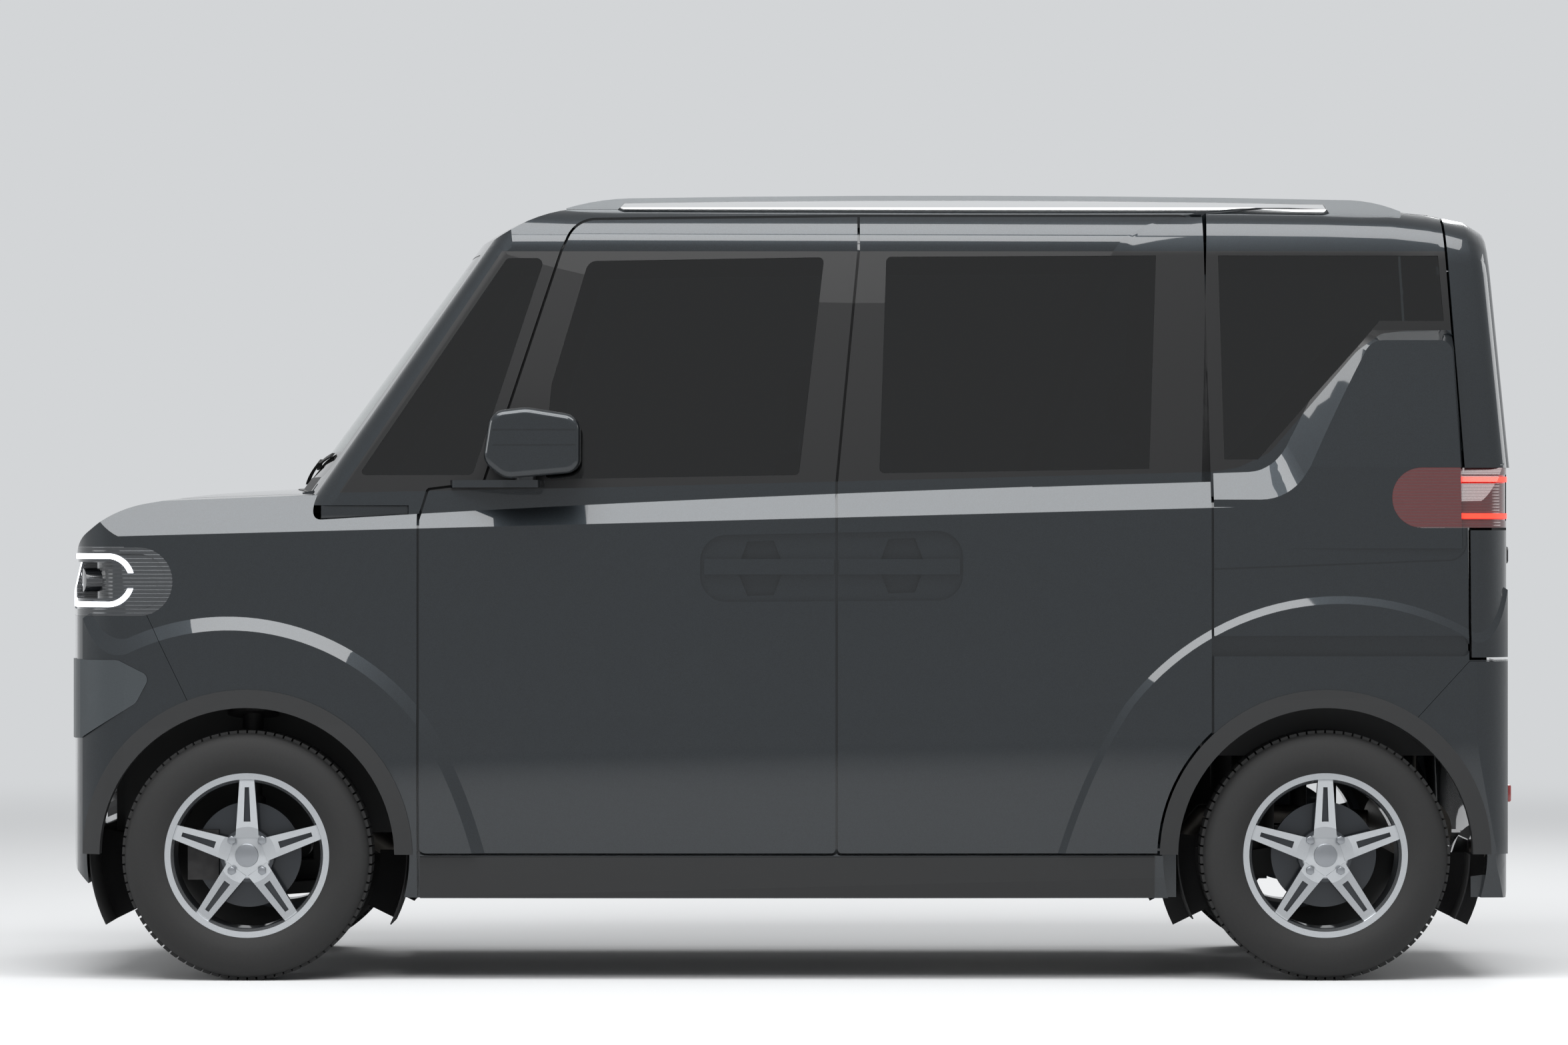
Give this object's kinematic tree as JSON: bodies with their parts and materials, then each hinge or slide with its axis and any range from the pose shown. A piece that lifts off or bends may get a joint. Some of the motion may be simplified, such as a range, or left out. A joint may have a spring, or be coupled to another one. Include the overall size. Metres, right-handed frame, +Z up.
{
  "type": "kei-class tall wagon",
  "caption": "Boxy kei-class wagon with hinged front doors, sliding rear doors, lift-up tailgate, opening bonnet, roof rails and steered front wheels.",
  "frame": {"origin": "on the ground, under the middle of the car's overall length and width", "axes": "+X forward, +Y to the car's left, +Z up"},
  "size_m": [3.395, 1.676, 1.822],
  "materials": {
    "body_paint": "metallic gloss clear coat",
    "black_trim": "fine grained",
    "gloss_black": "polished",
    "dark_glass": "privacy tinted",
    "clear_glass": "clear",
    "lamp_lens": "smoked lens over the lamp unit",
    "tail_lens": "smoked red lens",
    "white_light": "lit light guide",
    "red_light": "lit red light guide",
    "silver_trim": "satin silver",
    "tyre": "moulded rubber",
    "alloy": "machined and lacquered",
    "under_metal": "satin black",
    "iron": "as cast",
    "steel_pipe": "dull",
    "dash_plastic": "soft grain",
    "seat_cloth": "woven"
  },
  "bodies": {
    "body_shell": {"floor_pan": "under_metal", "bulkhead": "under_metal", "side_frames": "body_paint", "roof_panel": "body_paint", "front_wings": "body_paint", "front_bumper": "body_paint", "rear_bumper": "body_paint", "slide_doors": "body_paint", "grille": "gloss_black", "headlamps": "lamp_lens", "tail_lamps": "tail_lens", "windscreen": "clear_glass", "side_glass": "dark_glass", "daytime_lights": "white_light", "tail_light_bars": "red_light", "bumper_garnish": "silver_trim", "wipers": "black_trim", "roof_rails": "silver_trim", "cladding": "black_trim", "dashboard": "dash_plastic", "steering_wheel": "dash_plastic", "front_seats": "seat_cloth", "rear_seat": "seat_cloth", "front_subframe": "under_metal", "rear_axle": "under_metal", "engine_block": "iron", "exhaust_and_tank": "steel_pipe"},
    "front_door_left_assembly": {"front_door_left": "body_paint", "front_glass_left": "dark_glass", "mirror_left": "body_paint"},
    "front_door_right_assembly": {"front_door_right": "body_paint", "front_glass_right": "dark_glass", "mirror_right": "body_paint"},
    "tailgate_assembly": {"tailgate": "body_paint", "tailgate_glass": "dark_glass", "tailgate_wiper": "black_trim"},
    "bonnet_lid": {"bonnet": "body_paint"},
    "knuckle_left": {"upright_left": "iron"},
    "knuckle_right": {"upright_right": "iron"},
    "wheel_front_left": {"tyre_front_left": "tyre", "rim_front_left": "alloy"},
    "wheel_front_right": {"tyre_front_right": "tyre", "rim_front_right": "alloy"},
    "wheel_rear_left": {"tyre_rear_left": "tyre", "rim_rear_left": "alloy"},
    "wheel_rear_right": {"tyre_rear_right": "tyre", "rim_rear_right": "alloy"}
  },
  "joints": [
    {"name": "front_door_left_hinge", "type": "hinge", "parent": "body_shell", "child": "front_door_left_assembly", "pos_m": [0.851, 0.7375, 0.8], "axis": [0, 0, -1], "range_deg": [0, 68]},
    {"name": "front_door_right_hinge", "type": "hinge", "parent": "body_shell", "child": "front_door_right_assembly", "pos_m": [0.851, -0.7375, 0.8], "axis": [0, 0, 1], "range_deg": [0, 68]},
    {"name": "tailgate_hinge", "type": "hinge", "parent": "body_shell", "child": "tailgate_assembly", "pos_m": [-1.516, 0, 1.784], "axis": [0, 1, 0], "range_deg": [0, 82]},
    {"name": "bonnet_hinge", "type": "hinge", "parent": "body_shell", "child": "bonnet_lid", "pos_m": [1.104, 0, 1.131], "axis": [0, -1, 0], "range_deg": [0, 48]},
    {"name": "steering_left", "type": "hinge", "parent": "body_shell", "child": "knuckle_left", "pos_m": [1.25, 0.575, 0.2], "axis": [0, -0.1843, 0.9829], "range_deg": [-33, 33]},
    {"name": "steering_right", "type": "hinge", "parent": "body_shell", "child": "knuckle_right", "pos_m": [1.25, -0.575, 0.2], "axis": [0, 0.1843, 0.9829], "range_deg": [-33, 33]},
    {"name": "wheel_front_left_spin", "type": "hinge", "parent": "knuckle_left", "child": "wheel_front_left", "pos_m": [1.25, 0.64, 0.2895], "axis": [0, 1, 0], "continuous": true},
    {"name": "wheel_front_right_spin", "type": "hinge", "parent": "knuckle_right", "child": "wheel_front_right", "pos_m": [1.25, -0.64, 0.2895], "axis": [0, 1, 0], "continuous": true},
    {"name": "wheel_rear_left_spin", "type": "hinge", "parent": "body_shell", "child": "wheel_rear_left", "pos_m": [-1.245, 0.64, 0.2895], "axis": [0, 1, 0], "continuous": true},
    {"name": "wheel_rear_right_spin", "type": "hinge", "parent": "body_shell", "child": "wheel_rear_right", "pos_m": [-1.245, -0.64, 0.2895], "axis": [0, 1, 0], "continuous": true}
  ],
  "couplings": [
    {"joint": "steering_right", "follows": "steering_left", "ratio": 1}
  ]
}
